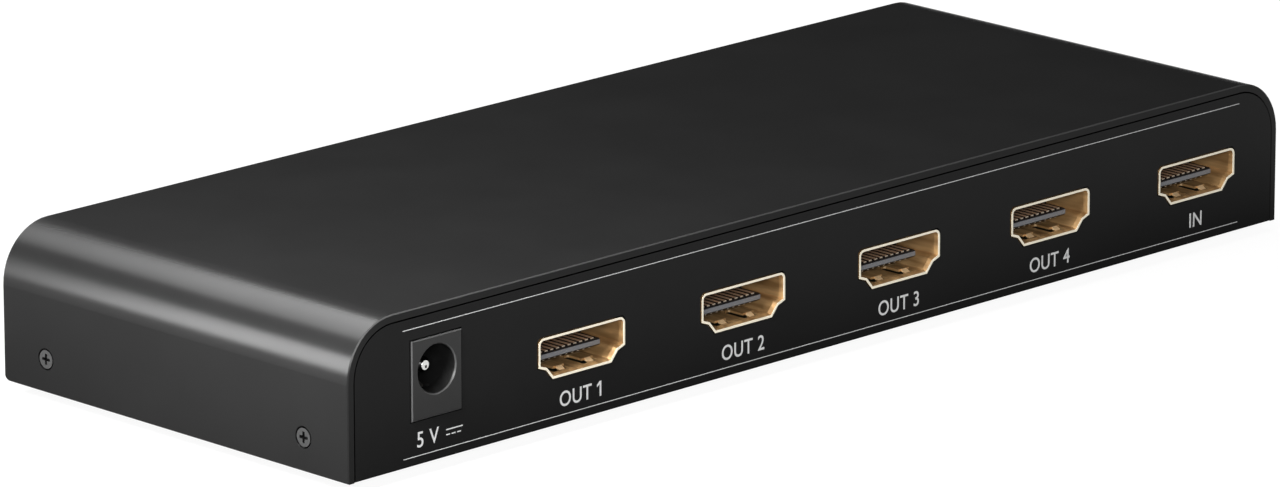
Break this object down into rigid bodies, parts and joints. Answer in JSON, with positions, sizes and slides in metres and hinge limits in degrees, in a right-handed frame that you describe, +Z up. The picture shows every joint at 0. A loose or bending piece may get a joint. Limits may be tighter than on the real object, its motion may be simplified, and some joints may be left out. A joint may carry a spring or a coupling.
{
  "type": "video splitter box",
  "caption": "Flat metal box with a barrel power socket and a row of video sockets on one long side, which sends one video signal to several screens.",
  "frame": {"origin": "centre of the footprint, at the level of the soles of the feet", "axes": "+X along the socket panel, from the power socket towards the input; +Y from the socket panel to the light panel, so the sockets face -Y; +Z up"},
  "size_m": [0.17, 0.064, 0.0216],
  "materials": {
    "black_paint": "satin powder coat",
    "panel_paint": "satin powder coat",
    "screw_steel": "dull zinc plating",
    "foot_rubber": "matt",
    "plated_brass": "nickel plated, turned",
    "gold_plate": "thin gold flash over nickel",
    "contact_metal": "gold flash",
    "black_plastic": "moulded",
    "board_laminate": "green solder mask",
    "jack_plastic": "moulded, semi gloss",
    "pin_chrome": "bright nickel plating",
    "tinned_metal": "tin plating",
    "red_light": "tinted clear resin",
    "green_light": "tinted clear resin",
    "chip_plastic": "moulded epoxy",
    "thermal_gum": "soft pad",
    "sink_aluminium": "black anodised",
    "coil_ferrite": "ferrite shield",
    "can_aluminium": "bare, drawn",
    "crystal_can": "nickel plated",
    "ceramic": "fired ceramic",
    "tantalum_moulding": "moulded epoxy",
    "fuse_body": "coated"
  },
  "bodies": {
    "case": {"base_tray": "panel_paint", "board_nuts": "screw_steel", "board_standoffs": "plated_brass", "ceramic_capacitors": "ceramic", "circuit_board": "board_laminate", "control_chip": "chip_plastic", "crystal": "crystal_can", "fuse": "fuse_body", "heat_sink": "sink_aluminium", "inductor": "coil_ferrite", "input_contacts": "contact_metal", "input_insulator": "black_plastic", "input_shell": "gold_plate", "memory_chip": "chip_plastic", "output_1_contacts": "contact_metal", "output_1_insulator": "black_plastic", "output_1_shell": "gold_plate", "output_2_contacts": "contact_metal", "output_2_insulator": "black_plastic", "output_2_shell": "gold_plate", "output_3_contacts": "contact_metal", "output_3_insulator": "black_plastic", "output_3_shell": "gold_plate", "output_4_contacts": "contact_metal", "output_4_insulator": "black_plastic", "output_4_shell": "gold_plate", "power_jack_housing": "jack_plastic", "power_jack_pin": "pin_chrome", "power_jack_pin_terminal": "tinned_metal", "power_jack_sleeve_terminal": "tinned_metal", "power_light": "red_light", "protection_diodes": "chip_plastic", "regulator_legs": "tinned_metal", "regulators": "chip_plastic", "rubber_feet": "foot_rubber", "side_screws": "screw_steel", "signal_lights": "green_light", "smoothing_can": "can_aluminium", "smoothing_can_base": "black_plastic", "splitter_chip": "chip_plastic", "tantalum_capacitors": "tantalum_moulding", "thermal_pad": "thermal_gum", "top_cover": "black_paint"},
    "sleeve_spring": {"power_jack_sleeve_spring": "tinned_metal"}
  },
  "joints": [
    {"name": "sleeve_spring_flex", "type": "hinge", "parent": "case", "child": "sleeve_spring", "pos_m": [-0.07027, -0.0208, 0.00915], "axis": [1, 0, 0], "range_deg": [0, 6], "stiffness_Nm_per_rad": 0.15}
  ]
}
